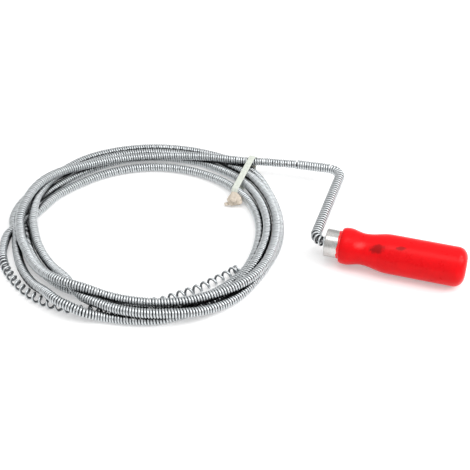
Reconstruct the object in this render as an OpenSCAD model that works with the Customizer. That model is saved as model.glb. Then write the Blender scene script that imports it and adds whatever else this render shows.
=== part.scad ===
// Hand-cranked drain snake, coiled up and tied for storage, lying on a flat surface.
// One spring wire is wound into a long flexible cable. One end is bent into a crank
// with a turned wooden handle that spins on it, the other end opens into an auger tip.
// Origin: middle of the coil, on the surface. +Z up. Millimetres.

/* [Spring cable] */
// Outside diameter of the cable
cable_d = 8; // [7:0.5:10]
// Thickness of the spring wire
wire_d = 2.1; // [1.8:0.1:2.4]
// Gap between neighbouring turns where the spring is closed
turn_gap = 0.05; // [0.02:0.01:0.2]

/* [Coil] */
// Mean radius of the coil, to the middle of the bundle
coil_mean_r = 107; // [95:1:150]
// Strands that lie side by side on the surface
floor_strands = 4; // [4:1:6]
// Gap between neighbouring strands
strand_gap = 1; // [0.5:0.1:2]
// How far the top strand settles into the groove between two others
top_settle = 0.4; // [0.2:0.1:1]
// Direction from the middle of the coil at which the top strand leaves as the lead, in degrees
top_from = 61; // [58:1:64]
// How far round the top strand lies on the others, in degrees
top_angle = 310; // [200:5:315]

/* [Auger tip] */
// Pitch of the opened turns
auger_pitch = 5.8; // [4:0.2:8]
// Direction from the middle of the coil at which the opened turns start, in degrees
auger_from = 268; // [200:1:280]
// Number of opened turns
auger_turns = 15; // [8:1:18]
// Number of closed turns that end the tip
end_turns = 3; // [1:1:5]

/* [Crank] */
// Straight stretch of the crank in line with the cable
crank_straight = 29; // [15:1:60]
// Bend between the cable and the arm, in degrees
arm_bend = 95.5; // [80:0.5:110]
// Bend radius there, to the middle of the cable
arm_bend_r = 12; // [9:0.5:20]
// Straight stretch of the crank arm
arm_straight = 84; // [50:1:150]
// Bend between the arm and the handle, in degrees
grip_bend = 91.4; // [80:0.2:100]
// Bend radius there
grip_bend_r = 8.5; // [7:0.5:15]
// Straight stretch between that bend and the ferrule
neck_straight = 1.4; // [0.5:0.1:10]

/* [Core rod] */
// Gap between the core rod and the inside of the spring
rod_gap = 0.4; // [0.3:0.05:0.6]
// How much the rod's radius is drawn thin at its bends
bend_thin = 0.05; // [0.03:0.01:0.1]
// Length of the rod that runs in the wooden grip
rod_in_grip = 70; // [30:1:80]

/* [Ferrule] */
// Outside diameter of the ferrule
ferrule_d = 23; // [20:0.5:26]
// Length of the ferrule that shows
ferrule_len = 12.5; // [11:0.5:20]
// Sheet thickness of the ferrule's sleeve
ferrule_wall = 0.8; // [0.5:0.1:1.2]
// Thickness of its end wall
ferrule_end = 1.2; // [0.8:0.1:2]
// Radius of the rolled edge round its end wall
ferrule_roll = 0.8; // [0.4:0.1:1]

/* [Wooden grip] */
// Length of the grip behind the ferrule
grip_len = 100; // [95:1:130]
// Largest diameter of the grip
grip_d = 32; // [28:0.5:38]
// Diameter of the ring that stops the thumb
bulge_d = 30.2; // [27:0.2:32]
// Diameter of the waist behind it
waist_d = 25.8; // [24:0.2:27]
// Diameter of the flat on the butt
butt_flat_d = 14; // [10:1:18]
// Distance from the ferrule to the widest part of the bulge
bulge_at = 5.5; // [4:0.5:8]
// Distance from the ferrule to the waist
waist_at = 18.5; // [14:0.5:24]
// Distance from the ferrule to where the grip is full
full_at = 40; // [34:1:55]
// Length of the rounding at the butt
butt_round = 8; // [4:0.5:12]

/* [Retaining collar] */
// Outside diameter of the collar that keeps the handle on
collar_d = 15; // [12:0.5:18]
// Thickness of the collar
collar_t = 3; // [2:0.5:4]

/* [Tie] */
// Width of the tie band
tie_w = 4.4; // [3:0.2:6]
// Thickness of the tie band
tie_t = 0.8; // [0.5:0.1:1.2]
// Direction in which the band crosses the bundle, in degrees
tie_yaw = 67; // [50:1:80]
// Diameter of the knot
knot_d = 11; // [8:0.5:14]
// Length of the knot
knot_len = 12; // [9:0.5:16]
// Diameter of the knot where it meets the band
knot_end_d = 3.2; // [2:0.2:4]
// How far the knot lies to the side of the band's middle
knot_shift = 1.5; // [0:0.5:2]

/* [Fits] */
// Radial running clearance of the rod in the grip
running_gap = 0.08; // [0.05:0.01:0.15]
// Radial clearance of the cable in the ferrule's hole
hole_gap = 0.4; // [0.3:0.1:0.8]
// Radial clearance of pieces that are pushed together for good
push_gap = 0.02; // [0.01:0.01:0.05]
// Space left between pieces that rest beside each other
seat_gap = 0.3; // [0.2:0.05:0.5]

/* [Hidden] */
$fn = 48;

// Route of the free end of the cable, from the bundle to the crank
lead_route = [[68, 93, 12.4], [76, 91, 12.6], [84, 89.6, 12.8], [92, 88.6, 13.1],
    [100, 87.6, 13.5], [108, 85.8, 14.1], [116, 83.4, 14.8], [124.5, 81.4, 15.5],
    [133, 79.4, 16]];
crank_yaw = -12.9;                              // heading of the crank's axis
tied_at = 3;                                    // point of the route that the tie holds
lead_sides = 12;
helix_steps = 8;                                // rings along each turn of a spring
wire_sides = 5;
profile_steps = 10;                             // points along each curve of the grip

cable_r = cable_d / 2;
wire_r = wire_d / 2;
wire_path_r = cable_r - wire_r;                 // the wire's middle, from the cable's
closed_pitch = wire_d + turn_gap;
rod_r = cable_r - wire_d - rod_gap;

// --- paths ---

function along(p, yaw, d) = p + d * [cos(yaw), sin(yaw)];
function arc_len(r, a) = r * a * PI / 180;
// Place and heading after t millimetres of a bend to the left (side 1) or right (side -1)
function bent(p, yaw, r, side, t) =
    let (h = yaw + side * t / r * 180 / PI)
    [p + side * r * [-sin(yaw), cos(yaw)] + side * r * [sin(h), -cos(h)], h];
// Turns of the spring touch on the inside of a bend and stand open on the outside
function bend_pitch(r) = closed_pitch / (1 - wire_path_r / r);

crank_from = [lead_route[len(lead_route) - 1].x, lead_route[len(lead_route) - 1].y];
crank_z = lead_route[len(lead_route) - 1].z;
arm_yaw = crank_yaw - arm_bend;
grip_yaw = arm_yaw + grip_bend;
arc_1 = arc_len(arm_bend_r, arm_bend);
arc_2 = arc_len(grip_bend_r, grip_bend);
spring_in = ferrule_end + seat_gap - push_gap;  // the spring ends inside the ferrule's hole
// Ends of the five stretches, counted along the crank
end_1 = crank_straight;
end_2 = end_1 + arc_1;
end_3 = end_2 + arm_straight;
end_4 = end_3 + arc_2;
end_5 = end_4 + neck_straight + spring_in;
bend_1_at = along(crank_from, crank_yaw, crank_straight);
arm_at = bent(bend_1_at, crank_yaw, arm_bend_r, -1, arc_1)[0];
bend_2_at = along(arm_at, arm_yaw, arm_straight);
neck_at = bent(bend_2_at, arm_yaw, grip_bend_r, 1, arc_2)[0];
ferrule_at = along(neck_at, grip_yaw, neck_straight);

function crank_place(s) =
    s < end_1 ? [along(crank_from, crank_yaw, s), crank_yaw]
    : s < end_2 ? bent(bend_1_at, crank_yaw, arm_bend_r, -1, s - end_1)
    : s < end_3 ? [along(arm_at, arm_yaw, s - end_2), arm_yaw]
    : s < end_4 ? bent(bend_2_at, arm_yaw, grip_bend_r, 1, s - end_3)
    : [along(neck_at, grip_yaw, s - end_4), grip_yaw];

// Turns of the crank's spring up to the end of each stretch
pitch_1 = bend_pitch(arm_bend_r);
pitch_2 = bend_pitch(grip_bend_r);
turns_1 = end_1 / closed_pitch;
turns_2 = turns_1 + arc_1 / pitch_1;
turns_3 = turns_2 + arm_straight / closed_pitch;
turns_4 = turns_3 + arc_2 / pitch_2;
turns_5 = turns_4 + (end_5 - end_4) / closed_pitch;
function crank_s(n) =
    n < turns_1 ? n * closed_pitch
    : n < turns_2 ? end_1 + (n - turns_1) * pitch_1
    : n < turns_3 ? end_2 + (n - turns_2) * closed_pitch
    : n < turns_4 ? end_3 + (n - turns_3) * pitch_2
    : end_4 + (n - turns_4) * closed_pitch;

// --- swept meshes ---

// Skin over a row of rings that all have the same number of points
module skin(rings) {
    m = len(rings[0]);
    n = len(rings);
    polyhedron(points = [for (r = rings) each r],
        faces = [[for (i = [0 : m - 1]) i],
            [for (i = [m - 1 : -1 : 0]) (n - 1) * m + i],
            for (k = [0 : n - 2]) for (i = [0 : m - 1])
                let (a = k * m + i, b = k * m + (i + 1) % m)
                each [[a, a + m, b + m], [a, b + m, b]]]);
}

// Ring of spring wire at phase a round a cable whose middle is at p, with heading yaw
function wire_ring(p, z, yaw, a) =
    let (out = [-sin(yaw) * cos(a), cos(yaw) * cos(a), sin(a)], ahead = [cos(yaw), sin(yaw), 0])
    [for (i = [0 : wire_sides - 1]) let (b = 360 * i / wire_sides)
        [p.x, p.y, z] + (wire_path_r + wire_r * cos(b)) * out + wire_r * sin(b) * ahead];

// --- the coil and what is in it ---

strand_step = cable_d + strand_gap;
function strand_r(i) = coil_mean_r + (i - (floor_strands - 1) / 2) * strand_step;
inner_r = strand_r(0);
outer_r = strand_r(floor_strands - 1);
top_z = cable_r + sqrt(pow(cable_d, 2) - pow(strand_step / 2, 2)) - top_settle;
auger_len = auger_turns * auger_pitch + end_turns * closed_pitch;
function auger_angle(s) = auger_from + s / inner_r * 180 / PI;
clear_angle = (wire_r + seat_gap) / inner_r * 180 / PI;

// Outline across the strands that lie side by side
module floor_outline() {
    fill_h = cable_d * 0.7;
    for (i = [0 : floor_strands - 1]) translate([strand_r(i), cable_r]) circle(cable_r);
    translate([inner_r, cable_r - fill_h / 2]) square([outer_r - inner_r, fill_h]);
}

// One more strand in the middle groove, up to where it leaves the bundle
module top_strand() {
    rotate([0, 0, top_from]) rotate_extrude(angle = top_angle)
        translate([coil_mean_r, top_z]) circle(cable_r);
}

// The innermost strand stops where the auger tip goes on in its place
module auger_room() {
    rotate([0, 0, auger_from - clear_angle])
        rotate_extrude(angle = auger_angle(auger_len) - auger_from + 2 * clear_angle)
            translate([inner_r - strand_step, -1]) square([1.5 * strand_step, cable_d + 2]);
}

module cable_coil() {
    color("silver") difference() {
        union() {
            rotate_extrude() floor_outline();
            top_strand();
        }
        auger_room();
        tie_room();
    }
}

module cable_lead() {
    last = len(lead_route) - 1;
    color("silver") skin([for (k = [0 : last])
        let (d = lead_route[min(k + 1, last)] - lead_route[max(k - 1, 0)], yaw = atan2(d.y, d.x),
            p = k < last ? lead_route[k] : lead_route[k] - seat_gap * d / norm(d))
        [for (i = [0 : lead_sides - 1]) let (a = 360 * i / lead_sides)
            p + cable_r * [-sin(yaw) * cos(a), cos(yaw) * cos(a), sin(a)]]]);
}

module auger_tip() {
    function auger_s(n) = n < auger_turns ? n * auger_pitch
        : auger_turns * auger_pitch + (n - auger_turns) * closed_pitch;
    color("gainsboro") skin([for (k = [0 : helix_steps * (auger_turns + end_turns)])
        let (a = auger_angle(auger_s(k / helix_steps)))
        wire_ring(inner_r * [cos(a), sin(a)], cable_r, a + 90, 360 * k / helix_steps)]);
}

// --- the crank ---

module crank_spring() {
    first = ceil(helix_steps * wire_r / closed_pitch);
    last = floor(helix_steps * (turns_5 - wire_r / closed_pitch));
    color("silver") skin([for (k = [first : last]) let (c = crank_place(crank_s(k / helix_steps)))
        wire_ring(c[0], crank_z, c[1], 360 * k / helix_steps)]);
}

// Straight stretch of the rod that runs on by some millimetres into the bends at its ends
module rod_stretch(at, yaw, len, before, after) {
    translate([at.x, at.y, crank_z]) rotate([0, 0, yaw]) rotate([0, 90, 0])
        translate([0, 0, -before]) cylinder(r = rod_r, h = before + len + after);
}

// Bend of the rod that starts at a point, to the left (side 1) or right (side -1)
module rod_bend(at, yaw, r, side, angle) {
    centre = at + side * r * [-sin(yaw), cos(yaw)];
    translate([centre.x, centre.y, crank_z])
        rotate([0, 0, side > 0 ? yaw - 90 : yaw + 90 - angle])
            rotate_extrude(angle = angle) translate([r, 0]) circle(rod_r - bend_thin);
}

module core_rod() {
    lap = 0.3;
    color("dimgray") {
        rod_stretch(crank_from, crank_yaw, crank_straight, 0, lap);
        rod_bend(bend_1_at, crank_yaw, arm_bend_r, -1, arm_bend);
        rod_stretch(arm_at, arm_yaw, arm_straight, lap, lap);
        rod_bend(bend_2_at, arm_yaw, grip_bend_r, 1, grip_bend);
        rod_stretch(neck_at, grip_yaw, neck_straight + ferrule_len + rod_in_grip, lap, 0);
    }
}

// --- the handle, drawn along its own +Z and then laid in line with the crank's end ---

collar_from = ferrule_end + seat_gap;
tenon_from = collar_from + collar_t + seat_gap;
tenon_r = ferrule_d / 2 - ferrule_wall - push_gap;
bore_r = rod_r + running_gap;

module on_crank() {
    translate([ferrule_at.x, ferrule_at.y, crank_z]) rotate([0, 0, grip_yaw]) rotate([0, 90, 0])
        children();
}

module retaining_collar() {
    color("goldenrod") on_crank() difference() {
        translate([0, 0, collar_from]) cylinder(d = collar_d, h = collar_t);
        cylinder(r = rod_r + push_gap, h = ferrule_len);
    }
}

module ferrule() {
    r = ferrule_d / 2;
    color("lightgray") on_crank() difference() {
        rotate_extrude() union() {
            translate([0, ferrule_roll]) square([r, ferrule_len - ferrule_roll]);
            square([r - ferrule_roll, ferrule_len]);
            translate([r - ferrule_roll, ferrule_roll]) circle(ferrule_roll);
        }
        translate([0, 0, ferrule_end]) cylinder(r = r - ferrule_wall, h = ferrule_len);
        translate([0, 0, -1]) cylinder(r = cable_r + hole_gap, h = ferrule_len);
    }
}

function swell(a, b, t) = a + (b - a) * (1 - cos(180 * t)) / 2;
// Turned outline of the grip, from the ferrule to the butt, as [radius, distance] points
function grip_outline() =
    let (shoulder_r = (ferrule_d + bulge_d) / 4, grip_r = grip_d / 2, flat_r = butt_flat_d / 2,
        steps = [for (k = [0 : profile_steps]) k / profile_steps])
    concat(
        [for (t = steps) [shoulder_r + (bulge_d / 2 - shoulder_r) * sin(90 * t),
            bulge_at * (1 - cos(90 * t))]],
        [for (t = steps) if (t > 0) [swell(bulge_d, waist_d, t) / 2,
            bulge_at + (waist_at - bulge_at) * t]],
        [for (t = steps) if (t > 0) [swell(waist_d, grip_d, t) / 2,
            waist_at + (full_at - waist_at) * t]],
        [for (t = steps) [flat_r + (grip_r - flat_r) * cos(90 * t),
            grip_len - butt_round * (1 - sin(90 * t))]]);

module handle_grip() {
    color("red") on_crank() difference() {
        union() {
            translate([0, 0, ferrule_len]) rotate_extrude()
                polygon(concat([[0, 0]], grip_outline(), [[0, grip_len]]));
            translate([0, 0, tenon_from]) cylinder(r = tenon_r, h = ferrule_len + 1 - tenon_from);
        }
        translate([0, 0, tenon_from - 1])
            cylinder(r = bore_r, h = ferrule_len + rod_in_grip + 2 - tenon_from);
    }
}

// --- the tie ---

tie_at = [lead_route[tied_at].x, lead_route[tied_at].y];
tie_way = [cos(tie_yaw), sin(tie_yaw)];
// Distance along the band's direction from the lead to a strand of radius r
function strand_at(r) = let (m = tie_at * tie_way) sqrt(m * m - tie_at * tie_at + r * r) - m;
// Angle between the band and the square crossing of that strand
function skew(r) = let (p = tie_at + strand_at(r) * tie_way) abs(tie_yaw - atan2(p.y, p.x));
// Half the width that a strand takes up inside the slanting band
function reach(a) = (cable_r + tie_w / 2 * sin(a)) / cos(a) + seat_gap;
tie_in = strand_at(inner_r) - reach(skew(inner_r));
tie_out = max(strand_at(outer_r) + reach(skew(outer_r)), reach(abs(tie_yaw - 90 - crank_yaw)));
lead_z = lead_route[tied_at].z;

module in_tie_plane() {
    translate([tie_at.x, tie_at.y, 0]) rotate([0, 0, tie_yaw]) rotate([90, 0, 0]) children();
}

// Band round the bundle, grown by t
module tie_outline(t) {
    hull() {
        translate([tie_in + cable_r, tie_t + cable_r]) circle(cable_r + t);
        translate([tie_out - cable_r, tie_t + cable_r]) circle(cable_r + t);
        translate([tie_out - cable_r, lead_z + seat_gap]) circle(cable_r + t);
    }
}

module tie_band() {
    color("honeydew") in_tie_plane() translate([0, 0, -tie_w / 2]) linear_extrude(tie_w)
        difference() {
            tie_outline(tie_t);
            tie_outline(0);
        }
}

// Groove under the bundle in which the band runs
module tie_room() {
    in_tie_plane() translate([0, 0, -tie_w / 2 - seat_gap]) linear_extrude(tie_w + 2 * seat_gap)
        difference() {
            tie_outline(tie_t + seat_gap);
            tie_outline(-seat_gap);
        }
}

module tie_knot() {
    r = knot_d / 2;
    end_r = knot_end_d / 2;
    color("tan") in_tie_plane()
        translate([tie_in - tie_t - seat_gap, r, knot_shift]) rotate([0, -90, 0])
            rotate_extrude() polygon(concat([[0, 0]],
                [for (k = [0 : profile_steps]) let (t = k / profile_steps)
                    [end_r + (r - end_r) * sin(180 * t), knot_len * t]],
                [[0, knot_len]]));
}

cable_coil();
cable_lead();
auger_tip();
crank_spring();
core_rod();
retaining_collar();
ferrule();
handle_grip();
tie_band();
tie_knot();
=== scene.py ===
import math

import bmesh
import bpy
import numpy as np
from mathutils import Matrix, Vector
from mathutils.bvhtree import BVHTree


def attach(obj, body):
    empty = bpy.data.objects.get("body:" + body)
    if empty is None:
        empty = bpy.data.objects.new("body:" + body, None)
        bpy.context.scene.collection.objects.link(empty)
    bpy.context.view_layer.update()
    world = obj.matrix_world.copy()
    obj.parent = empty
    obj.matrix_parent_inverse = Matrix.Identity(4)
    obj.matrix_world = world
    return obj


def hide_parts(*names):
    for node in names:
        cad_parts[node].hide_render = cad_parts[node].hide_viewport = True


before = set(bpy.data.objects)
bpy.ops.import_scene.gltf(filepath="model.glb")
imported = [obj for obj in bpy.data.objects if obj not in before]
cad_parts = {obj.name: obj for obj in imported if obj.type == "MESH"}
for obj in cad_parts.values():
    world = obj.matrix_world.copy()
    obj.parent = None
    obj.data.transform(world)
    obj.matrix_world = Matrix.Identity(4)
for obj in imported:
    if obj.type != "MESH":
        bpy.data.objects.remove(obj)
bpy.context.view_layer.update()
mm = 0.001

# Places in the photograph, in its own pixels; None where only the other coordinate counts
photoSize = {"width": 470, "height": 470}
imagePoints = {
    "handleRight": (468, None),
    "handleBottom": (None, 287),
    "gripTop": (None, 228),
    "crankRight": (342.5, None),
    "ferruleFrontTop": (326.5, 228.5),
    "ferruleFrontBottom": (322.5, 255.5),
    "tie": (244, 173),
    "tieKnot": (236, 200),
    "augerEnd": (241, 272),
    # on the lacquer: a painted dark reflection, a mark, and a painted highlight
    "lacquerDarkReflection": (377, 249),
    "lacquerNick": (401, 248.5),
    "lacquerGleam": (359.5, 245.5),
    "ferruleDent": (339, 245),
}

# Camera

cameraValues = {
    "place": (76.1 * mm, -570.3 * mm, 455 * mm),
    "downward": 38.8,            # degrees below the horizon
    "lens": 65.0,
    "sensorWidth": 36.0,
}


def placed(name, data):
    # a new object, linked into the scene
    made = bpy.data.objects.new(name, data)
    bpy.context.scene.collection.objects.link(made)
    return made


def makeCamera(values):
    data = bpy.data.cameras.new("photoCamera")
    data.lens = values["lens"]
    data.sensor_width = values["sensorWidth"]
    data.sensor_fit = "AUTO"
    data.clip_start = 0.01
    made = placed("photoCamera", data)
    made.location = values["place"]
    made.rotation_euler = (math.radians(90 - values["downward"]), 0, 0)
    bpy.context.scene.camera = made
    bpy.context.view_layer.update()
    return made


camera = makeCamera(cameraValues)
print("camera placed")


def seenFrom(point):
    # the photo's pixel at which a place in the scene shows
    inCamera = camera.matrix_world.inverted() @ Vector(point)
    longSide = max(photoSize["width"], photoSize["height"])
    scale = longSide * camera.data.lens / camera.data.sensor_width / -inCamera.z
    return (inCamera.x * scale + photoSize["width"] / 2 - camera.data.shift_x * longSide,
            photoSize["height"] / 2 - inCamera.y * scale + camera.data.shift_y * longSide)


def placeInView(name, carriers):
    # where a point of the photo falls on what carries the piece
    x, y = imagePoints[name]
    width, height = photoSize["width"], photoSize["height"]
    longSide = max(width, height)
    ray = Vector((x - width / 2 + camera.data.shift_x * longSide,
                  height / 2 - y + camera.data.shift_y * longSide,
                  -longSide * camera.data.lens / camera.data.sensor_width))
    ray = camera.matrix_world.to_3x3() @ ray.normalized()
    eye = camera.matrix_world.translation
    graph = bpy.context.evaluated_depsgraph_get()
    found = [BVHTree.FromObject(carrier, graph).ray_cast(eye, ray) for carrier in carriers]
    found = [hit for hit in found if hit[0] is not None]
    if found:
        return min(found, key=lambda hit: hit[3])[0]
    corners = [corner.co for carrier in carriers for corner in carrier.data.vertices]
    return min(corners, key=lambda corner: (corner - eye).cross(ray).length).copy()


# Route of the cable

cableValues = {
    "radius": 4 * mm,
    "wireRadius": 1.05 * mm,
    "closedPitch": 2.15 * mm,
    "ringRadius": 107.0,         # millimetres, to the middle of the bundle
    "ringsPerTurn": 12,          # of the mesh, where the turns touch
    "wireSides": 5,
    "nodeStep": 3.0,             # millimetres between the places that the settling moves
    "routeStep": 1.0,            # and between those of the finished route
    "bendReach": 7,              # places each way over which its bends are evened out
    "probe": 7 * mm,             # surroundings are felt this far from a strand's middle line:
    "probeRange": (3.5 * mm, 6.8 * mm),    # closed in with another this near, open with it this far
}
settleValues = {
    "rounds": 60,
    "lookEvery": 10,             # rounds between looks for strands that may meet,
    "inSight": 3,                # which are those this near, in millimetres,
    "apart": 40,                 # and at least this far apart along the cable
    "gap": 0.1,                  # millimetres between strands that have settled
    "leastGap": 0.5,             # keeps the push finite where middle lines cross
    "push": 0.35,                # share of an overlap by which each strand gives way in a round
    "sinking": 0.02,             # millimetres down in a round
    "keeping": 0.995,            # share of the moves that stays
    "evening": 3,                # places over which moves are evened out,
    "lastEvening": 2,            # and once more at the end
    "held": 12,                  # the crank end stays, and the cable is free from this place on
    "tieLift": 0.9,              # strands stand on the tie band by this many millimetres,
    "tieLiftReach": 25,          # and come down over about this length
}

# The free end, from the crank to the bundle, as in the part's source (mm)
leadRoute = [(133, 79.4, 16), (124.5, 81.4, 15.5), (116, 83.4, 14.8), (108, 85.8, 14.1),
             (100, 87.6, 13.5), (92, 88.6, 13.1), (84, 89.6, 12.8), (76, 91, 12.6), (68, 93, 12.4)]

# Each turn of the coil as (degrees round the ring, how far outside the ring radius, height), in mm
coilTurns = [
    [(58, 5.5, 12.2), (66, 1.5, 11.5), (78, -2.5, 10.8), (90, -4.5, 10.3), (104, -5, 10.8),
     (118, -4.6, 12.4), (130, -3.5, 14.5), (138, -1.4, 16), (148, -0.2, 17.5), (156, 0.2, 18.2),
     (163, 0.2, 18.3), (169, -0.3, 18), (173, -0.1, 17.3), (177, -0.2, 15.8), (181, -0.4, 14),
     (187, -2.1, 12.8), (192, -3, 12.3), (197, -4.4, 12), (203, -5.6, 12), (209, -5.8, 12),
     (220, -5.5, 13.5), (230, -5.2, 15.5), (246, -8, 12), (258, -9.3, 10), (270, -7, 11),
     (281, -3.6, 12), (290, -1, 12), (300, 1, 11.5), (313, 5, 12), (320, 6.6, 12), (329, 6.9, 12),
     (346, 5.6, 12), (355, 5.2, 11.8), (367, 4.7, 11.4), (373, 4.7, 11.2), (379, 5.2, 11),
     (386, 6.1, 10.6), (392, 7.7, 9.9), (397, 9.3, 9.1), (402, 10.4, 8.2)],
    [(47, 11.2, 7.8), (52, 11.6, 7.3), (58, 12.6, 7.2), (64, 11.4, 6.4), (71, 9.8, 5),
     (80, 9.4, 4.2), (92, 10, 4), (105, 10.3, 4), (125, 8.8, 4), (134, 5.8, 7), (145, 2.3, 10.6),
     (154, -0.5, 10.8), (162, -2.9, 10.4), (167, -5.3, 10.2), (171, -7.2, 10), (177, -9, 9.5),
     (185, -11.9, 8.2), (194, -14.2, 6.4), (200, -15.9, 5.2), (209, -17.8, 4), (214, -18.3, 4),
     (225, -17, 8), (235, -13, 12), (246, -7.4, 12), (258, -2, 10.8), (268, 2.8, 12),
     (276, 5.8, 12), (281, 7.2, 12), (288, 8.5, 10.6), (294, 8.8, 8.6), (300, 8.4, 7),
     (307, 7.6, 5.6), (314, 6.4, 4.5), (322, 5.4, 4), (330, 5.2, 4), (338, 5.6, 4), (346, 6.4, 4)],
    [(5, 7.5, 4), (12, 8.2, 4), (20, 9.3, 4), (25, 10.3, 4), (30, 12, 4), (36, 14.4, 4),
     (43, 16.6, 4), (52, 17, 4), (60, 16.6, 4), (76, 17.8, 4), (90, 18.8, 4), (104, 19, 4),
     (116, 18.8, 4), (124, 17.6, 4), (131, 15.2, 4), (138, 13.2, 4), (146, 12, 4), (156, 11, 4),
     (166, 10.2, 4), (174, 8.1, 4), (181, 5.8, 4), (188, 3.8, 4), (195, 2.8, 4), (209, 3, 4),
     (216, 3.6, 4.6), (222, 4.4, 5.8), (230, 5.4, 8.4), (238, 8.2, 10.5), (245, 7.8, 10),
     (250, 7, 8), (256, 3.9, 5), (268, 4.4, 4), (281, 6, 4), (290, 4.6, 4), (297, 2.6, 4),
     (304, 2.4, 4.4), (313, 2.0, 6.0), (320, 0.4, 8), (329, -1.2, 9.4), (339, -3.2, 9.6),
     (349, -3.6, 9.4), (358, -3.8, 9.2), (367, -4.1, 9), (375, -4.1, 8.7), (385, -3, 7.6),
     (391, -1.5, 6.5), (396, 0, 5.4), (401, 0.5, 4.8)],
    [(44, 0.9, 4.3), (52, 1.1, 4), (59, 1.9, 4), (66, 3.3, 4), (75, 3.4, 4), (95, 3.2, 4),
     (108, 2, 4), (118, 0.4, 4), (130, -0.6, 4), (145, -0.6, 4), (154, -0.4, 4), (163, 0.8, 4),
     (170, 0.4, 4), (176, -1.6, 4), (182, -4.8, 4), (189, -7.1, 4), (197, -8.9, 4), (209, -10.5, 4),
     (225, -12, 4), (235, -13, 4), (247, -16, 4), (258, -14, 4), (270, -9, 4), (281, -4.5, 4),
     (290, -4, 4), (300, -3.4, 4), (313, -3.4, 4), (321, -4.6, 4), (329, -6.6, 4), (344, -8.8, 4),
     (364, -9.2, 4), (380, -9.8, 4), (395, -12.2, 4)],
    [(45, -12.8, 4), (60, -13.5, 4), (90, -14.2, 4), (120, -14.2, 4), (138, -13, 4), (150, -9.8, 4),
     (163, -6.5, 4), (171, -1.6, 4), (180, 4.5, 4), (189, 8.9, 4), (197, 12.4, 4), (204, 13.2, 4),
     (211, 12.8, 4), (228, 9.5, 4), (238, 6.2, 4), (245, 3, 4), (250, -0.5, 4), (257, -4.5, 4),
     (266, -9, 4), (276, -12.5, 4.2), (281, -12.5, 4.2), (288, -15.2, 4.4), (296, -16.2, 4.4),
     (304, -15.7, 4.4), (308.3, -15.4, 4.4), (316.3, -12.8, 4.4), (320.4, -10.6, 4.4),
     (324.4, -8.2, 4.4), (326.4, -6.6, 4.4)],
]
tiePlace = {"at": (92, 88.6), "yaw": 67.0, "reach": 70}    # strands further off than this aren't in it


def smoothThrough(points, step):
    # a smooth curve through points, with a place at least every step
    points = np.array(points, float)
    spans = np.linalg.norm(np.diff(points, axis=0), axis=1)
    slopes = np.diff(points, axis=0) / spans[:, None]
    ways = np.vstack([slopes[:1], slopes, slopes[-1:]])
    before = np.r_[spans[0], spans, spans[-1]]
    ways = ways[:-1] * before[1:, None] + ways[1:] * before[:-1, None]
    ways /= (before[:-1] + before[1:])[:, None]
    made = []
    for k, span in enumerate(spans):
        count = max(1, int(math.ceil(span / step)))
        for j in range(count):
            u = j / count
            made.append((2 * u**3 - 3 * u**2 + 1) * points[k] + (u**3 - 2 * u**2 + u) * span * ways[k]
                        + (3 * u**2 - 2 * u**3) * points[k + 1] + (u**3 - u**2) * span * ways[k + 1])
    made.append(points[-1])
    return np.array(made)


def coilPlaces(turns, radius, step):
    # the turns as they lie round the ring, in millimetres
    flat = [((360 * n + angle) * math.pi / 180 * radius, out, height)
            for n, turn in enumerate(turns) for angle, out, height in turn]
    run = smoothThrough(flat, step)
    angle = run[:, 0] / radius
    return np.c_[(radius + run[:, 1]) * np.cos(angle), (radius + run[:, 1]) * np.sin(angle), run[:, 2]]


def evenly(path, step):
    run = np.r_[0, np.cumsum(np.linalg.norm(np.diff(path, axis=0), axis=1))]
    marks = np.linspace(0, run[-1], int(round(run[-1] / step)) + 1)
    return np.c_[[np.interp(marks, run, path[:, k]) for k in range(3)]].T, marks


def softened(moves, reach):
    # evens out the moves of neighbouring places along the cable
    weights = np.hanning(2 * reach + 3)[1:-1]
    weights /= weights.sum()
    padded = np.pad(moves, ((reach, reach), (0, 0)), mode="edge")
    return np.c_[[np.convolve(padded[:, k], weights, mode="valid") for k in range(3)]].T


def settle(path, values, cable, tie):
    # strands that lie in each other are pushed apart, round by round, and stay on the surface
    radius = cable["radius"] / mm
    width = 2 * radius + values["gap"]
    apart = int(values["apart"] / cable["nodeStep"])
    along = np.array([math.cos(math.radians(tie["yaw"])), math.sin(math.radians(tie["yaw"]))])
    aside = np.abs((path[:, :2] - tie["at"]) @ [-along[1], along[0]])
    near = np.hypot(*(path[:, :2] - tie["at"]).T) < tie["reach"]
    lift = values["tieLift"] * np.exp(-(aside / values["tieLiftReach"]) ** 2)
    low = radius + np.where(near, lift, 0)
    free = np.clip(np.arange(len(path)) / values["held"], 0, 1)[:, None]
    start = path.copy()
    moved = np.zeros_like(path)
    index = np.arange(len(path))
    for turn in range(values["rounds"]):
        now = start + moved
        if turn % values["lookEvery"] == 0:
            gaps = np.linalg.norm(now[:, None, :] - now[None, :, :], axis=2)
            first, second = np.nonzero((gaps < width + values["inSight"])
                                       & (index[None, :] - index[:, None] > apart))
        between = now[second] - now[first]
        gap = np.linalg.norm(between, axis=1)
        push = np.clip(width - gap, 0, None) / np.maximum(gap, values["leastGap"]) * values["push"]
        shift = np.zeros_like(moved)
        count = np.ones(len(path))
        np.add.at(shift, first, -between * push[:, None])
        np.add.at(shift, second, between * push[:, None])
        np.add.at(count, first, push > 0)
        np.add.at(count, second, push > 0)
        shift /= np.sqrt(count)[:, None]
        shift[:, 2] -= values["sinking"]
        moved = softened((moved + shift) * values["keeping"] * free, values["evening"])
        moved[:, 2] = np.maximum(moved[:, 2], low - start[:, 2])
    now = start + softened(moved, values["lastEvening"])
    now[:, 2] = np.maximum(now[:, 2], radius)
    return now


def makeRoute(values):
    step = values["routeStep"]
    lead = smoothThrough(leadRoute, step)
    coil = coilPlaces(coilTurns, values["ringRadius"], step)
    path, _ = evenly(np.vstack([lead, coil]), values["nodeStep"])
    path = settle(path, settleValues, values, tiePlace)
    return evenly(smoothThrough(path, step), step)


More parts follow.
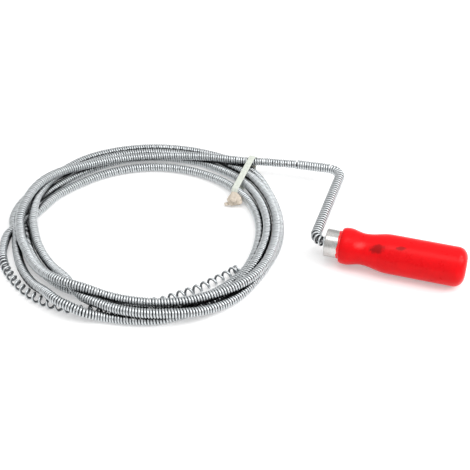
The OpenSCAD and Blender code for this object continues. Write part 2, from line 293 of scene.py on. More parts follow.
def spin(path, marks, values, extraPitch):
    # how far the wire has turned at each place; turns touch on the inside of a bend
    ways = np.gradient(path, marks, axis=0)
    bend = np.linalg.norm(np.gradient(ways, marks, axis=0), axis=1)
    evenedOver = 2 * values["bendReach"] + 1
    bend = np.convolve(np.pad(bend, values["bendReach"], mode="edge"),
                       np.ones(evenedOver) / evenedOver, mode="valid")
    pitch = values["closedPitch"] / mm / (1 - (values["radius"] - values["wireRadius"]) / mm * bend)
    pitch = pitch + extraPitch
    turned = np.r_[0, np.cumsum(np.diff(marks) * (1 / pitch[1:] + 1 / pitch[:-1]) / 2)]
    return 2 * math.pi * turned


route, routeMarks = makeRoute(cableValues)

# Materials


def newGroup(name, kind, sockets, result):
    # a node group, with the kind and the usual value of each input, and one result
    group = bpy.data.node_groups.new(name, kind)
    for label, (holds, usual) in sockets.items():
        socket = group.interface.new_socket(name=label, in_out="INPUT", socket_type="NodeSocket" + holds)
        if usual is not None:
            socket.default_value = usual
    label, holds = result
    group.interface.new_socket(name=label, in_out="OUTPUT", socket_type="NodeSocket" + holds)
    start = group.nodes.new("NodeGroupInput")
    end = group.nodes.new("NodeGroupOutput")
    return group, start.outputs, end.inputs


def newMaterial(name):
    material = bpy.data.materials.new(name)
    material.use_nodes = True
    tree = material.node_tree
    tree.nodes.clear()
    out = tree.nodes.new("ShaderNodeOutputMaterial")
    surface = tree.nodes.new("ShaderNodeBsdfPrincipled")
    tree.links.new(surface.outputs[0], out.inputs[0])
    return material, tree, surface


def given(tree, value, socket):
    # a socket gets a link, or a plain value
    if isinstance(value, bpy.types.NodeSocket):
        tree.links.new(value, socket)
    else:
        socket.default_value = value


def addNode(tree, kind, settings=None, **inputs):
    made = tree.nodes.new(kind)
    for name, value in (settings or {}).items():
        setattr(made, name, value)
    for name, value in inputs.items():
        given(tree, value, made.inputs[name.replace("_", " ")])
    return made


def number(tree, operation, *values, clamped=False):
    # a node that works on numbers, and its result
    made = addNode(tree, "ShaderNodeMath", {"operation": operation, "use_clamp": clamped})
    for value, socket in zip(values, made.inputs):
        given(tree, value, socket)
    return made.outputs[0]


def arrow(tree, operation, *values, scale=None):
    # the same for vectors
    made = addNode(tree, "ShaderNodeVectorMath", {"operation": operation})
    for value, socket in zip(values, made.inputs):
        given(tree, value, socket)
    if scale is not None:
        given(tree, scale, made.inputs["Scale"])
    single = operation in ("LENGTH", "DISTANCE", "DOT_PRODUCT")
    return made.outputs["Value" if single else "Vector"]


def spread(tree, mask, low, high):
    # a mask, from 0 to 1, as values from low to high
    made = addNode(tree, "ShaderNodeMapRange", Value=mask, To_Min=low, To_Max=high)
    return made.outputs["Result"]


def eased(tree, value, low, high):
    # from 0 at low to 1 at high, softly; low may be the larger of the two
    made = addNode(tree, "ShaderNodeMapRange", {"interpolation_type": "SMOOTHSTEP"},
                   Value=value, From_Min=low, From_Max=high)
    return made.outputs["Result"]


def whereOn(tree):
    return tree.nodes.new("ShaderNodeTexCoord").outputs["Object"]


def noise(tree, scale, detail=3.0):
    made = addNode(tree, "ShaderNodeTexNoise", Vector=whereOn(tree), Scale=scale, Detail=detail)
    return made.outputs["Fac"]


def makeStain(values):
    # uneven finish: a coarse noise and a finer one, as a mask
    group, start, results = newGroup("unevenFinish", "ShaderNodeTree", {
        "Scale": ("Float", 300), "Contrast": ("Float", 0.5)}, ("Mask", "Float"))
    coarse = noise(group, start["Scale"], detail=4.0)
    fine = noise(group, number(group, "MULTIPLY", start["Scale"], values["finer"]))
    both = number(group, "MULTIPLY_ADD", fine, values["fineShare"], coarse)
    centred = number(group, "SUBTRACT", both, 0.5 * (1 + values["fineShare"]))
    scaled = number(group, "MULTIPLY_ADD", centred, start["Contrast"], 0.5, clamped=True)
    group.links.new(scaled, results["Mask"])
    return group


def makeSpot(values):
    # a ragged spot round a place on the surface: 1 in the middle, 0 outside
    group, start, results = newGroup("raggedSpot", "ShaderNodeTree", {
        "Place": ("Vector", None), "Size": ("Vector", (mm, mm, mm)), "Softness": ("Float", 0.5)},
        ("Mask", "Float"))
    away = arrow(group, "DIVIDE", arrow(group, "SUBTRACT", whereOn(group), start["Place"]), start["Size"])
    torn = number(group, "MULTIPLY_ADD", noise(group, values["grain"]), values["raggedness"],
                  arrow(group, "LENGTH", away))
    outside = number(group, "ADD", values["reach"], start["Softness"])
    inside = number(group, "SUBTRACT", values["reach"], start["Softness"])
    group.links.new(eased(group, torn, outside, inside), results["Mask"])
    return group


stainGroup = makeStain({"finer": 6.3, "fineShare": 0.4})
spotGroup = makeSpot({"reach": 1.6, "raggedness": 1.2, "grain": 420.0})


def stain(tree, scale, contrast):
    made = addNode(tree, "ShaderNodeGroup", {"node_tree": stainGroup}, Scale=scale, Contrast=contrast)
    return made.outputs["Mask"]


def spot(tree, place, size, softness):
    made = addNode(tree, "ShaderNodeGroup", {"node_tree": spotGroup},
                   Place=place, Size=size, Softness=softness)
    return made.outputs["Mask"]


def ramp(tree, mask, low, high):
    made = tree.nodes.new("ShaderNodeValToRGB")
    made.color_ramp.elements[0].color = (*low, 1)
    made.color_ramp.elements[1].color = (*high, 1)
    tree.links.new(mask, made.inputs[0])
    return made.outputs["Color"]


def mixedColour(tree, share, under, over):
    made = addNode(tree, "ShaderNodeMix", {"data_type": "RGBA"})
    for value, socket in zip((share, under, over), (made.inputs[0], made.inputs[6], made.inputs[7])):
        given(tree, (*value, 1) if isinstance(value, tuple) else value, socket)
    return made.outputs[2]


def bump(tree, height, distance, strength):
    made = addNode(tree, "ShaderNodeBump", Height=height, Distance=distance, Strength=strength)
    return made.outputs["Normal"]


def uneven(name, values):
    # every finish starts like this: stained from dull to bright, and rougher in places
    material, tree, surface = newMaterial(name)
    mask = stain(tree, values["grain"], values["contrast"])
    tree.links.new(spread(tree, mask, *values["roughness"]), surface.inputs["Roughness"])
    if "bump" in values:
        tree.links.new(bump(tree, mask, *values["bump"]), surface.inputs["Normal"])
    return material, tree, surface, ramp(tree, mask, values["dull"], values["bright"])


springValues = {
    "dull": (0.625, 0.655, 0.67), "bright": (0.765, 0.795, 0.81), "roughness": (0.32, 0.46),
    "grain": 260.0, "contrast": 1.6,
    # painted shade: dark grey between the turns, near black where strands lie against each other
    "grooveShade": (0.19, 0.20, 0.21), "creviceShade": (0.03, 0.032, 0.036),
    "grooves": (0.2, 0.95),        # how far out of the cable the wire is painted as fully shaded, and as unshaded
    "crankGrooves": (0.2, 1.0),    # the same on the crank, which is seen along its length
    "crevices": (0.0, 0.8),        # how open its surroundings are where it is painted as fully shaded, and as unshaded
}


def springSteel(name, values, grooves):
    material, tree, surface, colour = uneven(name, values)
    # painted shade: a dark grey between the turns, near black where strands lie against each other
    for attribute, limits, shadeColour in (("proud", grooves, values["grooveShade"]),
                                      ("open", values["crevices"], values["creviceShade"])):
        read = addNode(tree, "ShaderNodeAttribute", {"attribute_name": attribute})
        unshaded = eased(tree, read.outputs["Fac"], *limits)
        colour = mixedColour(tree, unshaded, shadeColour, colour)
    tree.links.new(colour, surface.inputs["Base Color"])
    surface.inputs["Metallic"].default_value = 1.0
    return material


lacquerValues = {
    "dull": (0.66, 0.002, 0.005), "bright": (0.98, 0.004, 0.008), "roughness": (0.24, 0.34),
    "grain": 60.0, "contrast": 1.0, "bump": (0.1 * mm, 0.3),
    "shine": 0.11, "coat": 0.05, "coatRoughness": 0.1,
    # dark red for a mark and for a painted dark reflection; pale red for a painted highlight
    "markAndDarkReflection": (0.40, 0.004, 0.005), "gleam": (1.0, 0.06, 0.06),
}
# The lacquer that has run onto the ferrule from the grip
runValues = {"overlap": 1.6 * mm, "raggedness": 2.2 * mm, "grain": 140.0, "softness": 0.15 * mm}
ferruleValues = {
    "dull": (0.42, 0.41, 0.40), "bright": (0.70, 0.69, 0.67), "roughness": (0.18, 0.32),
    "grain": 180.0, "contrast": 1.4, "bump": (0.08 * mm, 0.4),
    # near-black painted shade in a dent of the ferrule
    "dentShade": (0.06, 0.05, 0.05), "dentSize": (1.6 * mm, 1.6 * mm, 1.6 * mm), "dentSoftness": 0.5,
}


def redLacquer(values, marks):
    material, tree, surface, colour = uneven("redLacquer", values)
    # a mark, a painted dark reflection and a painted highlight are mixed into the lacquer's colour
    for place, size, softness, tint in marks:
        colour = mixedColour(tree, spot(tree, place, size, softness), colour, tint)
    tree.links.new(colour, surface.inputs["Base Color"])
    surface.inputs["Specular IOR Level"].default_value = values["shine"]
    surface.inputs["Coat Weight"].default_value = values["coat"]
    surface.inputs["Coat Roughness"].default_value = values["coatRoughness"]
    return material


def pressedSteel(values, lacquer, run, edge, way, dent):
    # bright ferrule, with painted shade in a dent; lacquer has run a little way onto it from the grip
    material, tree, surface, steel = uneven("pressedSteel", values)
    # a near-black spot painted where the ferrule is dented, standing in for its shade
    dentShadeMask = spot(tree, dent, values["dentSize"], values["dentSoftness"])
    steel = mixedColour(tree, dentShadeMask, steel, values["dentShade"])
    along = arrow(tree, "DOT_PRODUCT", arrow(tree, "SUBTRACT", whereOn(tree), edge), way)
    reach = number(tree, "MULTIPLY_ADD", noise(tree, run["grain"]), run["raggedness"] * 2, along)
    limit = run["raggedness"] - run["overlap"]
    red = eased(tree, reach, limit - run["softness"], limit + run["softness"])
    tree.links.new(mixedColour(tree, red, steel, lacquer["bright"]), surface.inputs["Base Color"])
    tree.links.new(spread(tree, red, 1.0, 0.0), surface.inputs["Metallic"])
    return material


plainValues = {
    "rodSteel": {"dull": (0.30, 0.30, 0.31), "bright": (0.45, 0.45, 0.46), "roughness": (0.3, 0.45),
                 "grain": 220.0, "contrast": 1.2, "metallic": 1.0},
    "collarBrass": {"dull": (0.55, 0.40, 0.16), "bright": (0.72, 0.55, 0.26), "roughness": (0.25, 0.4),
                    "grain": 220.0, "contrast": 1.2, "metallic": 1.0},
    "tieTape": {"dull": (0.48, 0.52, 0.45), "bright": (0.84, 0.87, 0.80), "roughness": (0.45, 0.7),
                "grain": 900.0, "contrast": 1.4, "metallic": 0.0, "bump": (0.3 * mm, 0.6)},
    "knotTape": {"dull": (0.44, 0.37, 0.29), "bright": (0.82, 0.73, 0.62), "roughness": (0.5, 0.75),
                 "grain": 500.0, "contrast": 1.2, "metallic": 0.0, "bump": (0.3 * mm, 0.6)},
}


def plainFinish(name, values):
    # a worn metal, or a cloth
    material, tree, surface, colour = uneven(name, values)
    tree.links.new(colour, surface.inputs["Base Color"])
    surface.inputs["Metallic"].default_value = values["metallic"]
    return material


springFinish = springSteel("zincSpringSteel", springValues, springValues["grooves"])
crankFinish = springSteel("zincCrankSteel", springValues, springValues["crankGrooves"])
plainFinishes = {name: plainFinish(name, values) for name, values in plainValues.items()}
print("materials ready")

# What the geometry nodes have in common


def endTree(tree, geometry, finish, results):
    # the group's result is smooth, real mesh with its finish on it
    shaded = addNode(tree, "GeometryNodeSetShadeSmooth", Geometry=geometry)
    real = addNode(tree, "GeometryNodeRealizeInstances", Geometry=shaded.outputs[0])
    finished = addNode(tree, "GeometryNodeSetMaterial", Geometry=real.outputs[0], Material=finish)
    tree.links.new(finished.outputs[0], results[0])


def realised(made, tree, values):
    # gives the geometry nodes their values, and keeps what they make as plain mesh
    modifier = made.modifiers.new("made", "NODES")
    modifier.node_group = tree
    for item in tree.interface.items_tree:
        if item.in_out == "INPUT" and item.name in values:
            modifier[item.identifier] = values[item.name]
    bpy.context.view_layer.update()
    graph = bpy.context.evaluated_depsgraph_get()
    whole = bpy.data.meshes.new_from_object(made.evaluated_get(graph))
    made.modifiers.clear()
    made.data = whole
    whole.name = made.name
    print("  %s: %d triangles" % (made.name, sum(len(face.vertices) - 2 for face in whole.polygons)))


def lineObject(name, places, closed=False):
    # a line of edges through places given in millimetres
    count = len(places)
    mesh = bpy.data.meshes.new(name + "Line")
    edges = [(k, (k + 1) % count) for k in range(count if closed else count - 1)]
    mesh.from_pydata([tuple(place * mm) for place in places], edges, [])
    return placed(name, mesh)


# The spring wire, wound round its route by geometry nodes


def springTree(values):
    tree, start, results = newGroup("woundSpring", "GeometryNodeTree", {
        "Route": ("Geometry", None), "Winding Radius": ("Float", 2.95 * mm),
        "Wire Radius": ("Float", 1.05 * mm), "Ring Step": ("Float", 0.18 * mm),
        "Wire Sides": ("Int", 5), "Finish": ("Material", None)}, ("Spring", "Geometry"))
    line = addNode(tree, "GeometryNodeMeshToCurve", Mesh=start["Route"])
    upright = addNode(tree, "GeometryNodeSetCurveNormal", {"mode": "Z_UP"}, Curve=line.outputs[0])
    rings = addNode(tree, "GeometryNodeResampleCurve", {"mode": "LENGTH"},
                    Curve=upright.outputs[0], Length=start["Ring Step"])
    turned = addNode(tree, "GeometryNodeInputNamedAttribute", {"data_type": "FLOAT"}, Name="turned")
    angle = turned.outputs["Attribute"]
    here = tree.nodes.new("GeometryNodeInputPosition").outputs[0]
    aside = tree.nodes.new("GeometryNodeInputNormal").outputs[0]
    ahead = tree.nodes.new("GeometryNodeInputTangent").outputs[0]
    upward = arrow(tree, "CROSS_PRODUCT", ahead, aside)
    way = arrow(tree, "ADD", arrow(tree, "SCALE", aside, scale=number(tree, "COSINE", angle)),
                arrow(tree, "SCALE", upward, scale=number(tree, "SINE", angle)))
    noted = addNode(tree, "GeometryNodeCaptureAttribute")
    noted.capture_items.new("VECTOR", "axis")
    tree.links.new(rings.outputs[0], noted.inputs["Geometry"])
    tree.links.new(here, noted.inputs["axis"])
    axis = noted.outputs["axis"]
    wound = addNode(tree, "GeometryNodeSetPosition", Geometry=noted.outputs["Geometry"],
                    Offset=arrow(tree, "SCALE", way, scale=start["Winding Radius"]))
    steady = addNode(tree, "GeometryNodeSetCurveNormal", {"mode": "MINIMUM_TWIST"},
                     Curve=wound.outputs[0])
    profile = addNode(tree, "GeometryNodeCurvePrimitiveCircle",
                      Resolution=start["Wire Sides"], Radius=start["Wire Radius"])
    wire = addNode(tree, "GeometryNodeCurveToMesh", Curve=steady.outputs[0],
                   Profile_Curve=profile.outputs[0], Fill_Caps=True)
    # how far each place of the wire stands out of the cable, from 0 inside to 1 outside
    beyond = number(tree, "SUBTRACT", arrow(tree, "DISTANCE", here, axis), start["Winding Radius"])
    proud = number(tree, "DIVIDE", beyond, start["Wire Radius"], clamped=True)
    # how open the surroundings are: how far a place further out is from the middle of any strand
    outward = arrow(tree, "NORMALIZE", arrow(tree, "SUBTRACT", here, axis))
    further = arrow(tree, "MULTIPLY_ADD", outward, (values["probe"],) * 3, axis)
    nearest = addNode(tree, "GeometryNodeProximity", {"target_element": "EDGES"},
                      Sample_Position=further)
    tree.links.new(start["Route"], nearest.inputs[0])
    openness = eased(tree, nearest.outputs["Distance"], *values["probeRange"])
    geometry = wire.outputs[0]
    for label, value in (("proud", proud), ("open", openness)):
        stored = addNode(tree, "GeometryNodeStoreNamedAttribute", {"data_type": "FLOAT"},
                         Geometry=geometry, Name=label, Value=value)
        geometry = stored.outputs[0]
    endTree(tree, geometry, start["Finish"], results)
    return tree


windingTree = springTree(cableValues)


def windSpring(name, places, turned, values, finish):
    made = lineObject(name, places)
    mark = made.data.attributes.new("turned", "FLOAT", "POINT")
    mark.data.foreach_set("value", turned.astype(np.float32))
    realised(made, windingTree, {
        "Winding Radius": values["radius"] - values["wireRadius"], "Wire Radius": values["wireRadius"],
        "Ring Step": values["closedPitch"] / values["ringsPerTurn"], "Wire Sides": values["wireSides"],
        "Finish": finish})
    return made


# The last stretch of the wire is wound open, and its tip is closed again; augerWire is the end of it
augerValues = {
    "openPitch": 7.0,
    "turns": 12.5, "endTurns": 1.5,         # of augerWire: open ones, and closed ones at the tip
    "openLength": 214.0, "easing": 22.0,    # from the end: how much is open, and where it closes up
    "tip": 2.5, "tipEasing": 2.0,           # the same for the closed tip
}
closedPitch = cableValues["closedPitch"] / mm
augerLength = augerValues["turns"] * augerValues["openPitch"] + augerValues["endTurns"] * closedPitch
augerOpening = augerValues["openPitch"] - closedPitch
fromEnd = routeMarks[-1] - routeMarks
openingPlaces = [0, augerValues["tip"], augerValues["tip"] + augerValues["tipEasing"],
                 augerValues["openLength"], augerValues["openLength"] + augerValues["easing"]]
opening = np.interp(fromEnd, openingPlaces, [0, 0, augerOpening, augerOpening, 0])
cableTurned = spin(route, routeMarks, cableValues, opening)
split = int(np.searchsorted(routeMarks, routeMarks[-1] - augerLength))
coilSpring = windSpring("springCable", route[:split + 1], cableTurned[:split + 1],
                        cableValues, springFinish)
augerSpring = windSpring("augerWire", route[split:], cableTurned[split:], cableValues, springFinish)
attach(coilSpring, "coil")
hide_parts("cable_coil", "cable_lead")
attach(augerSpring, "coil")
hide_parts("auger_tip")
print("cable wound")

# The crank

crankValues = {
    "yaw": -12.9, "straight": 29, "armBend": 95.5, "armBendRadius": 12, "arm": 84,
    "gripBend": 91.4, "gripBendRadius": 8.5, "neck": 1.4, "inFerrule": 1.48, "ferrule": 12.5,
    "armPitch": 0.8,                       # the arm's turns stand this much further apart,
    "armEasing": ((-4, 3), (-3, 1)),       # which comes, and goes, between these places at its ends
    "touching": 3.2,                       # in a bend the turns touch this far inside its middle line
    "wound": {"radius": 4.5 * mm, "ringsPerTurn": 16, "wireSides": 8},    # where it isn't as the cable
}


def onward(place, yaw, radius, length):
    # where a straight, or with a radius a bend, has got to after a length, and its direction there
    if not radius:
        return place + length * np.array([math.cos(yaw), math.sin(yaw), 0]), yaw
    centre = place + radius * np.array([-math.sin(yaw), math.cos(yaw), 0])
    swung = yaw + length / radius
    return centre + radius * np.array([math.sin(swung), -math.cos(swung), 0]), swung


def crankPlaces(values, step=0.5):
    places, marks, bends = [], [], []
    place, yaw, run = np.array(leadRoute[0], float), math.radians(values["yaw"]), 0.0
    stretches = [(values["straight"], 0, 0), (None, values["armBend"], -values["armBendRadius"]),
                 (values["arm"], 0, 0), (None, values["gripBend"], values["gripBendRadius"]),
                 (values["neck"] + values["inFerrule"], 0, 0)]
    for length, turn, radius in stretches:
        if radius:
            length = abs(radius) * math.radians(turn)
        count = int(math.ceil(length / step))
        for k in range(count):
            done = length * k / count
            places.append(onward(place, yaw, radius, done)[0])
            marks.append(run + done)
            bends.append(1 / abs(radius) if radius else 0)
        place, yaw = onward(place, yaw, radius, length)
        run += length
    places.append(place)
    marks.append(run)
    bends.append(0)
    return np.array(places), np.array(marks), np.array(bends), yaw


crankRoute, crankMarks, crankBends, gripYaw = crankPlaces(crankValues)
armStart = crankValues["straight"] + math.radians(crankValues["armBend"]) * crankValues["armBendRadius"]
armEnds = [place + move for place, moves in zip((armStart, armStart + crankValues["arm"]),
                                                crankValues["armEasing"]) for move in moves]
crankPitch = closedPitch / (1 - crankValues["touching"] * crankBends)
crankPitch = crankPitch + crankValues["armPitch"] * np.interp(crankMarks, armEnds, [0, 1, 1, 0])
crankTurned = 2 * math.pi * np.r_[0, np.cumsum(np.diff(crankMarks) / crankPitch[:-1])]
crankSpring = windSpring("crankSpring", crankRoute, crankTurned,
                         {**cableValues, **crankValues["wound"]}, crankFinish)
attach(crankSpring, "crank")
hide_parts("crank_spring")
print("crank wound")

# Handle: the CAD nodes, finished


def finishNode(name, material):
    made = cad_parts[name]
    for place in made.material_slots:
        place.material = material
    if not made.material_slots:
        made.data.materials.append(material)


# A mark in the lacquer, a painted dark reflection and a painted highlight: size, softness and colour
markValues = {
    "lacquerDarkReflection": ((6.0 * mm, 3.4 * mm, 3.4 * mm), 0.45, "markAndDarkReflection"),
    "lacquerNick": ((3.4 * mm, 1.6 * mm, 1.6 * mm), 0.4, "markAndDarkReflection"),
    "lacquerGleam": ((3.6 * mm, 2.0 * mm, 2.4 * mm), 0.9, "gleam"),
}

grip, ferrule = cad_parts["handle_grip"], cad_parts["ferrule"]
markPlaces = {name: placeInView(name, [grip]) for name in markValues}
finishNode("handle_grip", redLacquer(lacquerValues, [
    (markPlaces[name], size, softness, lacquerValues[tint])
    for name, (size, softness, tint) in markValues.items()]))
gripWay = Vector((math.cos(gripYaw), math.sin(gripYaw), 0))
ferruleStart = Vector(crankRoute[-1] * mm) - gripWay * crankValues["inFerrule"] * mm
ferruleEnd = ferruleStart + gripWay * crankValues["ferrule"] * mm
markPlaces["ferruleDent"] = placeInView("ferruleDent", [ferrule])
finishNode("ferrule", pressedSteel(ferruleValues, lacquerValues, runValues, ferruleEnd, gripWay,
                                   markPlaces["ferruleDent"]))
finishNode("core_rod", plainFinishes["rodSteel"])
finishNode("retaining_collar", plainFinishes["collarBrass"])
print("handle finished")

# The tie: a woven tape round the strands, and its knot

tieValues = {
    "width": 6.0 * mm, "thickness": 0.9 * mm, "raggedness": 0.35 * mm, "seed": 7,
    "clearance": 0.25, "lowest": 0.65,     # millimetres, round the strands and over the floor
    "arcStep": 6, "lineStep": 0.8,         # degrees round a strand, and millimetres along the tape
    "edgeRadius": 0.3 * mm, "edgeSteps": 2, "sectionPoints": 24, "grain": 420.0,
}
# The gathered folds and the tape's short end, in millimetres and degrees
knotValues = {
    "shift": (0, 1.5, 0.6), "lift": 0.3, "folds": 9,
    "length": 17.0, "width": 13.0, "depth": 8.0, "yaw": -88.0,
    "swell": [(0, 0.42), (0.15, 0.5), (0.4, 0.78), (0.7, 1.0), (0.88, 0.94), (0.96, 0.72), (1.0, 0.5)],
}
tailValues = {
    "shift": (-4.0, -12.0, -1.9), "folds": 4,
    "length": 4.5, "width": 4.2, "depth": 2.4, "yaw": 190.0,
    "swell": [(0, 0.7), (0.6, 1.0), (1.0, 0.8)],
}
foldValues = {
    "rings": 18, "around": 72,             # of the mesh
    "height": 0.11, "sway": 1.3,           # how deep the folds are, and how they wander
    "uneven": 0.06,                        # how unevenly the tape's end is cut
    "hollow": 0.92,                        # where the end's middle lies, as a share of the length
    "lowest": 0.15,                        # millimetres over the floor
}


def tieLoop(values, tie):
    # where the strands cross the tie's plane, and the closed line that goes tightly round them
    yaw = math.radians(tie["yaw"])
    along, across = np.array([math.cos(yaw), math.sin(yaw)]), np.array([-math.sin(yaw), math.cos(yaw)])
    offset = route[:, :2] - tie["at"]
    side = offset @ across
    outline = []
    for k in np.nonzero((side[:-1] * side[1:] <= 0) & (np.hypot(*offset[:-1].T) < tie["reach"]))[0]:
        middle = (route[k] + route[k + 1]) / 2
        way = route[k + 1] - route[k]
        slant = abs(way[:2] @ across) / np.linalg.norm(way)
        reach = cableValues["radius"] / mm + values["clearance"] + values["thickness"] / mm / 2
        for turn in range(0, 360, values["arcStep"]):
            a = math.radians(turn)
            outline.append(((middle[:2] - tie["at"]) @ along + reach / slant * math.cos(a),
                            max(middle[2] + reach * math.sin(a), values["lowest"])))
    outline = sorted(set((round(u, 4), round(z, 4)) for u, z in outline))
    hull = []
    for ordered in (outline, outline[::-1]):
        chain = []
        for point in ordered:
            while len(chain) > 1 and np.cross(np.subtract(chain[-1], chain[-2]),
                                              np.subtract(point, chain[-1])) <= 0:
                chain.pop()
            chain.append(point)
        hull += chain[:-1]
    closed = np.array(hull + hull[:1])
    loop, _ = evenly(np.c_[closed, np.zeros(len(closed))], values["lineStep"])
    return np.array([[*(tie["at"] + u * along), z] for u, z, _ in loop[:-1]]), along


def tapeTree(values):
    tree, start, results = newGroup("tapeRoundStrands", "GeometryNodeTree", {
        "Loop": ("Geometry", None), "Width": ("Float", 5 * mm), "Thickness": ("Float", 1 * mm),
        "Raggedness": ("Float", 0.3 * mm), "Seed": ("Int", 1), "Width Way": ("Vector", None),
        "Finish": ("Material", None)}, ("Tape", "Geometry"))
    line = addNode(tree, "GeometryNodeMeshToCurve", Mesh=start["Loop"])
    steady = addNode(tree, "GeometryNodeSetCurveNormal", {"mode": "FREE"},
                     Curve=line.outputs[0], Normal=start["Width Way"])
    profile = addNode(tree, "GeometryNodeCurvePrimitiveQuadrilateral",
                      Width=start["Width"], Height=start["Thickness"])
    rounded = addNode(tree, "GeometryNodeFilletCurve", {"mode": "POLY"},
                      Curve=profile.outputs[0], Count=values["edgeSteps"], Radius=values["edgeRadius"])
    across = addNode(tree, "GeometryNodeResampleCurve", Curve=rounded.outputs[0],
                     Count=values["sectionPoints"])
    tape = addNode(tree, "GeometryNodeCurveToMesh", Curve=steady.outputs[0],
                   Profile_Curve=across.outputs[0], Fill_Caps=True)
    ragged = addNode(tree, "ShaderNodeTexNoise", {"noise_dimensions": "4D"},
                     Vector=tree.nodes.new("GeometryNodeInputPosition").outputs[0],
                     W=start["Seed"], Scale=values["grain"])
    centred = number(tree, "SUBTRACT", ragged.outputs["Fac"], 0.5)
    push = arrow(tree, "SCALE", tree.nodes.new("GeometryNodeInputNormal").outputs[0],
                 scale=number(tree, "MULTIPLY", centred, start["Raggedness"]))
    moved = addNode(tree, "GeometryNodeSetPosition", Geometry=tape.outputs[0], Offset=push)
    endTree(tree, moved.outputs[0], start["Finish"], results)
    return tree


def makeTape(values):
    loop, along = tieLoop(values, tiePlace)
    made = lineObject("wovenTape", loop, closed=True)
    realised(made, tapeTree(values), {
        "Width Way": (-along[1], along[0], 0.0), "Width": values["width"],
        "Thickness": values["thickness"], "Raggedness": values["raggedness"], "Seed": values["seed"],
        "Finish": plainFinishes["tieTape"]})
    return made, loop, along


def gathered(start, values, folding):
    # tape gathered in folds along a way: rings of corners, closed at both ends
    yaw = math.radians(values["yaw"])
    way = np.array([math.cos(yaw), math.sin(yaw), 0])
    across = np.array([-way[1], way[0], 0])
    start = start + np.array(values["shift"])
    corners, rings, around = [], folding["rings"], folding["around"]
    for k in range(rings + 1):
        t = k / rings
        size = np.interp(t, *zip(*values["swell"]))
        for j in range(around):
            a = 2 * math.pi * j / around
            wander = values["folds"] * a + folding["sway"] * math.sin(a + 2 * t)
            fold = size * (1 + folding["height"] * t * math.cos(wander))
            reach = values["length"] * (t + folding["uneven"] * t * math.cos(3 * a + 1))
            corner = start + way * reach + across * fold * values["width"] / 2 * math.cos(a)
            corner[2] = max(folding["lowest"], corner[2] + fold * values["depth"] / 2 * math.sin(a))
            corners.append(tuple(corner * mm))
    faces = [(k * around + j, k * around + (j + 1) % around, (k + 1) * around + (j + 1) % around,
              (k + 1) * around + j) for k in range(rings) for j in range(around)]
    faces.append(tuple(range(around))[::-1])
    faces += [(rings * around + j, rings * around + (j + 1) % around, len(corners))
              for j in range(around)]
    corners.append(tuple((start + way * values["length"] * folding["hollow"]) * mm))
    mesh = bpy.data.meshes.new("gathered")
    mesh.from_pydata(corners, [], faces)
    middle = Vector((start + way * values["length"] / 2) * mm)
    if sum(face.normal.dot(face.center - middle) * face.area for face in mesh.polygons) < 0:
        mesh.flip_normals()
    return mesh


def makeKnot(loop, along):
    # the gathered folds of the tape below where it is tied, and its short end
    inner = min(loop, key=lambda place: (place[:2] - tiePlace["at"]) @ along)
    start = np.array([*inner[:2], knotValues["depth"] / 2 + knotValues["lift"]])
    both = bmesh.new()
    for values in (knotValues, tailValues):
        part = gathered(start, values, foldValues)
        both.from_mesh(part)
        bpy.data.meshes.remove(part)
    mesh = bpy.data.meshes.new("tieKnotFolds")
    both.to_mesh(mesh)
    both.free()
    mesh.materials.append(plainFinishes["knotTape"])
    mesh.shade_smooth()
    return placed("tieKnotFolds", mesh)


wovenTape, tieLine, tieAlong = makeTape(tieValues)
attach(wovenTape, "coil")
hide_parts("tie_band")
knotFolds = makeKnot(tieLine, tieAlong)
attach(knotFolds, "coil")
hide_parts("tie_knot")
print("tape tied, %d places round the strands" % len(tieLine))

# Floor and light

lightValues = {
    "zenith": 1.0, "wall": 0.75, "horizon": 0.64,    # brightness of the room, from the top down
    "overhead": 3.0, "side": 10.0,                   # watts
    "floorColour": 0.80, "floorGlow": 0.30,
    "floorReach": 6.0,                               # metres from the middle to each side
}


def cameraOnly(tree):
    # 1 where the camera, or what reflects or lets light through, sees it
    path = tree.nodes.new("ShaderNodeLightPath").outputs
    seen = number(tree, "MAXIMUM", path["Is Camera Ray"], path["Is Glossy Ray"])
    return number(tree, "MAXIMUM", seen, path["Is Transmission Ray"])


def makeFloor(values):
    mesh = bpy.data.meshes.new("floor")
    reach = values["floorReach"]
    corners = [(-reach, -reach, 0), (reach, -reach, 0), (reach, reach, 0), (-reach, reach, 0)]
    mesh.from_pydata(corners, [], [(0, 1, 2, 3)])
    floor = placed("floor", mesh)
    material = bpy.data.materials.new("paleFloor")
    material.use_nodes = True
    tree = material.node_tree
    tree.nodes.clear()
    out = tree.nodes.new("ShaderNodeOutputMaterial")
    plain = addNode(tree, "ShaderNodeBsdfDiffuse", Color=(values["floorColour"],) * 3 + (1,))
    strength = number(tree, "MULTIPLY", cameraOnly(tree), values["floorGlow"])
    glow = addNode(tree, "ShaderNodeEmission", Color=(1, 1, 1, 1), Strength=strength)
    both = tree.nodes.new("ShaderNodeAddShader")
    tree.links.new(plain.outputs[0], both.inputs[0])
    tree.links.new(glow.outputs[0], both.inputs[1])
    tree.links.new(both.outputs[0], out.inputs[0])
    mesh.materials.append(material)


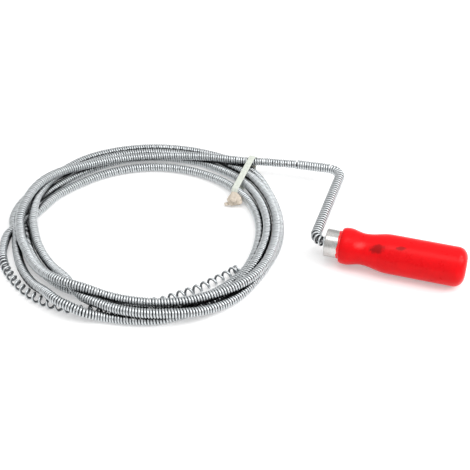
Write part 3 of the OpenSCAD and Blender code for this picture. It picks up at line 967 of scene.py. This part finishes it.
def makeWorld(values):
    # a room with a bright ceiling and darker walls, that the camera sees as white
    world = bpy.data.worlds.new("studio")
    bpy.context.scene.world = world
    world.use_nodes = True
    tree = world.node_tree
    tree.nodes.clear()
    out = tree.nodes.new("ShaderNodeOutputWorld")
    way = tree.nodes.new("ShaderNodeTexCoord")
    parts = addNode(tree, "ShaderNodeSeparateXYZ", Vector=way.outputs["Generated"])
    room = tree.nodes.new("ShaderNodeValToRGB")
    room.color_ramp.interpolation = "EASE"
    stops = room.color_ramp.elements
    for place, level in ((0.0, "horizon"), (0.35, "horizon"), (0.62, "wall"), (0.9, "zenith")):
        stop = stops.new(place) if place else stops[0]
        stop.color = (values[level] / values["zenith"],) * 3 + (1,)
    stops.remove(stops[-1])    # the white one that a new ramp ends with
    tree.links.new(parts.outputs["Z"], room.inputs[0])
    scaled = number(tree, "MULTIPLY", room.outputs["Color"], values["zenith"])
    path = tree.nodes.new("ShaderNodeLightPath")
    seen = addNode(tree, "ShaderNodeMix", Factor=path.outputs["Is Camera Ray"], A=scaled, B=1.0)
    sky = addNode(tree, "ShaderNodeBackground", Color=(1, 1, 1, 1), Strength=seen.outputs[0])
    tree.links.new(sky.outputs[0], out.inputs[0])


def makeSoftbox(name, place, aim, size, power):
    data = bpy.data.lights.new(name, "AREA")
    data.shape = "RECTANGLE"
    data.size, data.size_y = size
    data.energy = power
    made = placed(name, data)
    made.location = place
    made.rotation_euler = (Vector(aim) - Vector(place)).to_track_quat("-Z", "Y").to_euler()


makeFloor(lightValues)
makeWorld(lightValues)
makeSoftbox("overhead", (0.05, -0.3, 1.3), (0.07, 0, 0), (0.9, 0.6), lightValues["overhead"])
makeSoftbox("rightSide", (1.1, -0.2, 0.9), (0.05, 0, 0), (0.9, 0.9), lightValues["side"])
bpy.context.scene.view_settings.view_transform = "Standard"
print("studio ready")

# How far each thing shows from its point in the photo

measureValues = {
    "mostCorners": 6000, "skin": 0.4 * mm,    # a corner this little behind a surface still shows
    "tip": 4.5 * mm,                          # round the wire's end
    "frontWay": (0.97, 0.24),                 # along the handle, as seen
    "frontDepth": 1.5,                        # as seen, of the ferrule's front edge
}


def shown(piece, trees, near=None):
    # the photo's pixels of the piece's corners that nothing hides
    eye = camera.matrix_world.translation
    corners = [corner.co for corner in piece.data.vertices]
    if near is not None:
        place, reach = near
        corners = [corner for corner in corners if (corner - Vector(place)).length < reach]
    seen = []
    for corner in corners[::max(1, len(corners) // measureValues["mostCorners"])]:
        way = corner - eye
        hits = [tree.ray_cast(eye, way, way.length - measureValues["skin"])[0] for tree in trees]
        if not any(hit is not None for hit in hits):
            seen.append(seenFrom(corner))
    return np.array(seen)


def measurePoints():
    pieces = [coilSpring, augerSpring, crankSpring, grip, ferrule, wovenTape, knotFolds]
    graph = bpy.context.evaluated_depsgraph_get()
    trees = [BVHTree.FromObject(piece, graph) for piece in pieces]
    gripSeen, ferruleSeen = shown(grip, trees), shown(ferrule, trees)
    tapeSeen, knotSeen = shown(wovenTape, trees), shown(knotFolds, trees)
    endSeen = shown(augerSpring, trees, (route[-1] * mm, measureValues["tip"]))
    along = ferruleSeen @ measureValues["frontWay"]
    front = ferruleSeen[along < along.min() + measureValues["frontDepth"]]
    shows = {
        "handleRight": (gripSeen[:, 0].max(), None), "handleBottom": (None, gripSeen[:, 1].max()),
        "gripTop": (None, gripSeen[:, 1].min()),
        "crankRight": (shown(crankSpring, trees)[:, 0].max(), None),
        "ferruleFrontTop": tuple(front[front[:, 1].argmin()]),
        "ferruleFrontBottom": tuple(front[front[:, 1].argmax()]),
        "tie": tuple((tapeSeen.min(0) + tapeSeen.max(0)) / 2),
        "tieKnot": tuple((knotSeen.min(0) + knotSeen.max(0)) / 2),
        "augerEnd": tuple((endSeen.min(0) + endSeen.max(0)) / 2),
    }
    shows.update({name: seenFrom(place) for name, place in markPlaces.items()})
    return {name: [None if wanted is None else round(float(got - wanted), 1)
                   for got, wanted in zip(shows[name], imagePoints[name])] for name in imagePoints}


try:
    pointDifferences = measurePoints()
except (ValueError, IndexError) as trouble:
    pointDifferences = {"notMeasured": str(trouble)}
print("points measured:", pointDifferences)
